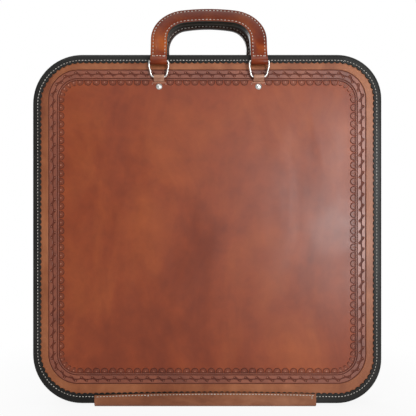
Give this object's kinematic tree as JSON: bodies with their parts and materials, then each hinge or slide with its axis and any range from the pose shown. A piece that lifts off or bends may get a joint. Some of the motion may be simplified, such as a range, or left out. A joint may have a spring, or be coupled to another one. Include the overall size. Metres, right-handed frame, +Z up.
{
  "type": "zipped apron case",
  "caption": "Flat square leather case of two shallow shells, hinged along the bottom by a strip, zipped round the other sides, with a loop handle on each shell.",
  "frame": {"origin": "on the floor, under the middle of the hinge strip that the closed case stands on", "axes": "+X to the right seen from the front, +Y from the front shell to the back shell, +Z up"},
  "size_m": [0.432, 0.0646, 0.5018],
  "materials": {
    "panel_leather": "waxed brown",
    "lining_cloth": "plain weave",
    "gusset_leather": "satin dark brown",
    "binding_leather": "satin black",
    "zip_cloth": "woven tape",
    "zip_coil": "satin",
    "zip_metal": "nickel plated",
    "tab_leather": "pale undyed",
    "nickel": "nickel plated",
    "handle_leather": "waxed red-brown",
    "core_leather": "dark",
    "strip_leather": "waxed brown"
  },
  "bodies": {
    "hinge_strip": {"hinge_strip": "strip_leather"},
    "back_shell": {"back_panel": "panel_leather", "back_lining": "lining_cloth", "back_gusset": "gusset_leather", "back_binding": "binding_leather", "back_zip_tape": "zip_cloth", "back_zip_coil": "zip_coil", "back_zip_stops": "zip_metal", "back_left_tab": "tab_leather", "back_right_tab": "tab_leather", "back_rivets": "nickel"},
    "front_shell": {"front_panel": "panel_leather", "front_lining": "lining_cloth", "front_gusset": "gusset_leather", "front_binding": "binding_leather", "front_zip_tape": "zip_cloth", "front_zip_coil": "zip_coil", "front_zip_stops": "zip_metal", "front_left_tab": "tab_leather", "front_right_tab": "tab_leather", "front_rivets": "nickel"},
    "front_left_ring": {"front_left_ring": "nickel"},
    "front_right_ring": {"front_right_ring": "nickel"},
    "front_handle": {"front_handle_face": "handle_leather", "front_handle_core": "core_leather", "front_handle_back": "handle_leather"},
    "back_left_ring": {"back_left_ring": "nickel"},
    "back_right_ring": {"back_right_ring": "nickel"},
    "back_handle": {"back_handle_face": "handle_leather", "back_handle_core": "core_leather", "back_handle_back": "handle_leather"},
    "left_slider": {"left_slider": "zip_metal"},
    "left_pull": {"left_pull": "zip_metal"},
    "right_slider": {"right_slider": "zip_metal"},
    "right_pull": {"right_pull": "zip_metal"}
  },
  "joints": [
    {"name": "front_shell_open", "type": "hinge", "parent": "hinge_strip", "child": "front_shell", "pos_m": [0, -0.0238, 0.0012], "axis": [1, 0, 0], "range_deg": [0, 90], "deforming": ["hinge_strip"]},
    {"name": "back_shell_open", "type": "hinge", "parent": "hinge_strip", "child": "back_shell", "pos_m": [0, 0.0235, 0.0012], "axis": [-1, 0, 0], "range_deg": [0, 90], "deforming": ["hinge_strip"]},
    {"name": "front_left_ring_swing", "type": "hinge", "parent": "front_shell", "child": "front_left_ring", "pos_m": [-0.0595, -0.0239, 0.4063], "axis": [1, 0, 0], "range_deg": [0, 150]},
    {"name": "front_right_ring_swing", "type": "hinge", "parent": "front_shell", "child": "front_right_ring", "pos_m": [0.0635, -0.0239, 0.4063], "axis": [1, 0, 0], "range_deg": [0, 150]},
    {"name": "front_handle_swing", "type": "hinge", "parent": "front_left_ring", "child": "front_handle", "pos_m": [0.002, -0.0284, 0.4238], "axis": [-1, 0, 0], "range_deg": [-180, 0]},
    {"name": "back_left_ring_swing", "type": "hinge", "parent": "back_shell", "child": "back_left_ring", "pos_m": [-0.0595, 0.0239, 0.4063], "axis": [-1, 0, 0], "range_deg": [0, 150]},
    {"name": "back_right_ring_swing", "type": "hinge", "parent": "back_shell", "child": "back_right_ring", "pos_m": [0.0635, 0.0239, 0.4063], "axis": [-1, 0, 0], "range_deg": [0, 150]},
    {"name": "back_handle_swing", "type": "hinge", "parent": "back_left_ring", "child": "back_handle", "pos_m": [0.002, 0.0284, 0.4238], "axis": [1, 0, 0], "range_deg": [-180, 0]},
    {"name": "left_slider_travel", "type": "slide", "parent": "back_shell", "child": "left_slider", "axis": [-1, 0, 0], "range_m": [0, 0.13]},
    {"name": "left_pull_swing", "type": "hinge", "parent": "left_slider", "child": "left_pull", "pos_m": [-0.0065, 0, 0.429], "axis": [0, 1, 0], "range_deg": [0, 110]},
    {"name": "right_slider_travel", "type": "slide", "parent": "back_shell", "child": "right_slider", "axis": [1, 0, 0], "range_m": [0, 0.13]},
    {"name": "right_pull_swing", "type": "hinge", "parent": "right_slider", "child": "right_pull", "pos_m": [0.0065, 0, 0.429], "axis": [0, -1, 0], "range_deg": [0, 110]}
  ],
  "couplings": [
    {"joint": "front_right_ring_swing", "follows": "front_left_ring_swing", "ratio": 1},
    {"joint": "back_right_ring_swing", "follows": "back_left_ring_swing", "ratio": 1}
  ]
}
